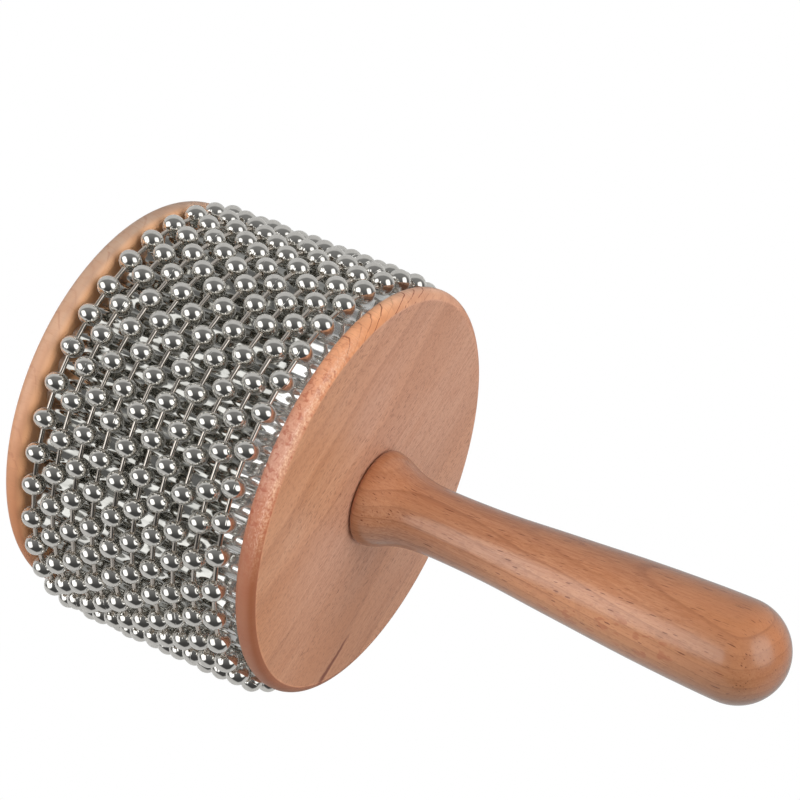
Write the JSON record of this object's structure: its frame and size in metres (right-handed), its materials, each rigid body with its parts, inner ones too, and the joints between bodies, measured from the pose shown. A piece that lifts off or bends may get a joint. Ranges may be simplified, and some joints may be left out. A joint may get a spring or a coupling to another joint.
{
  "type": "cabasa",
  "caption": "Hand percussion cabasa: loops of bright bead chain turn freely around a corrugated steel drum between two round-edged beech discs, on a turned beech handle.",
  "frame": {"origin": "centre of the base disc's flat outer face, which the object stands on", "axes": "+Z along the drum and handle axis, towards the handle's round end; -Y is the side that faces the viewer in the reference picture"},
  "size_m": [0.0982, 0.0982, 0.164],
  "materials": {
    "beech_handle": "lacquered beech, semi-gloss",
    "beech_disc": "sealed beech, satin",
    "core_wood": "plain turned wood",
    "bright_sheet": "bright rolled, mirror-like",
    "nail_steel": "plain steel",
    "bolt_steel": "zinc plated",
    "insert_brass": "machined",
    "bright_bead": "bright nickel plated",
    "link_steel": "nickel plated wire"
  },
  "bodies": {
    "drum": {"handle": "beech_handle", "front_disc": "beech_disc", "back_disc": "beech_disc", "core_drum": "core_wood", "corrugated_sheet": "bright_sheet", "sheet_nails": "nail_steel", "tie_bolt": "bolt_steel", "bolt_washer": "bolt_steel", "handle_insert": "insert_brass"},
    "chain_01": {"chain_01_balls": "bright_bead", "chain_01_closing_bead": "bright_bead", "chain_01_links": "link_steel"},
    "chain_02": {"chain_02_balls": "bright_bead", "chain_02_closing_bead": "bright_bead", "chain_02_links": "link_steel"},
    "chain_03": {"chain_03_balls": "bright_bead", "chain_03_closing_bead": "bright_bead", "chain_03_links": "link_steel"},
    "chain_04": {"chain_04_balls": "bright_bead", "chain_04_closing_bead": "bright_bead", "chain_04_links": "link_steel"},
    "chain_05": {"chain_05_balls": "bright_bead", "chain_05_closing_bead": "bright_bead", "chain_05_links": "link_steel"},
    "chain_06": {"chain_06_balls": "bright_bead", "chain_06_closing_bead": "bright_bead", "chain_06_links": "link_steel"},
    "chain_07": {"chain_07_balls": "bright_bead", "chain_07_closing_bead": "bright_bead", "chain_07_links": "link_steel"},
    "chain_08": {"chain_08_balls": "bright_bead", "chain_08_closing_bead": "bright_bead", "chain_08_links": "link_steel"},
    "chain_09": {"chain_09_balls": "bright_bead", "chain_09_closing_bead": "bright_bead", "chain_09_links": "link_steel"},
    "chain_10": {"chain_10_balls": "bright_bead", "chain_10_closing_bead": "bright_bead", "chain_10_links": "link_steel"}
  },
  "joints": [
    {"name": "chain_01_spin", "type": "hinge", "parent": "drum", "child": "chain_01", "pos_m": [0, 0, 0.008], "axis": [0, 0, 1], "continuous": true},
    {"name": "chain_02_spin", "type": "hinge", "parent": "drum", "child": "chain_02", "pos_m": [0, 0, 0.01308], "axis": [0, 0, 1], "continuous": true},
    {"name": "chain_03_spin", "type": "hinge", "parent": "drum", "child": "chain_03", "pos_m": [0, 0, 0.01816], "axis": [0, 0, 1], "continuous": true},
    {"name": "chain_04_spin", "type": "hinge", "parent": "drum", "child": "chain_04", "pos_m": [0, 0, 0.02324], "axis": [0, 0, 1], "continuous": true},
    {"name": "chain_05_spin", "type": "hinge", "parent": "drum", "child": "chain_05", "pos_m": [0, 0, 0.02832], "axis": [0, 0, 1], "continuous": true},
    {"name": "chain_06_spin", "type": "hinge", "parent": "drum", "child": "chain_06", "pos_m": [0, 0, 0.0334], "axis": [0, 0, 1], "continuous": true},
    {"name": "chain_07_spin", "type": "hinge", "parent": "drum", "child": "chain_07", "pos_m": [0, 0, 0.03848], "axis": [0, 0, 1], "continuous": true},
    {"name": "chain_08_spin", "type": "hinge", "parent": "drum", "child": "chain_08", "pos_m": [0, 0, 0.04356], "axis": [0, 0, 1], "continuous": true},
    {"name": "chain_09_spin", "type": "hinge", "parent": "drum", "child": "chain_09", "pos_m": [0, 0, 0.04864], "axis": [0, 0, 1], "continuous": true},
    {"name": "chain_10_spin", "type": "hinge", "parent": "drum", "child": "chain_10", "pos_m": [0, 0, 0.05372], "axis": [0, 0, 1], "continuous": true}
  ]
}
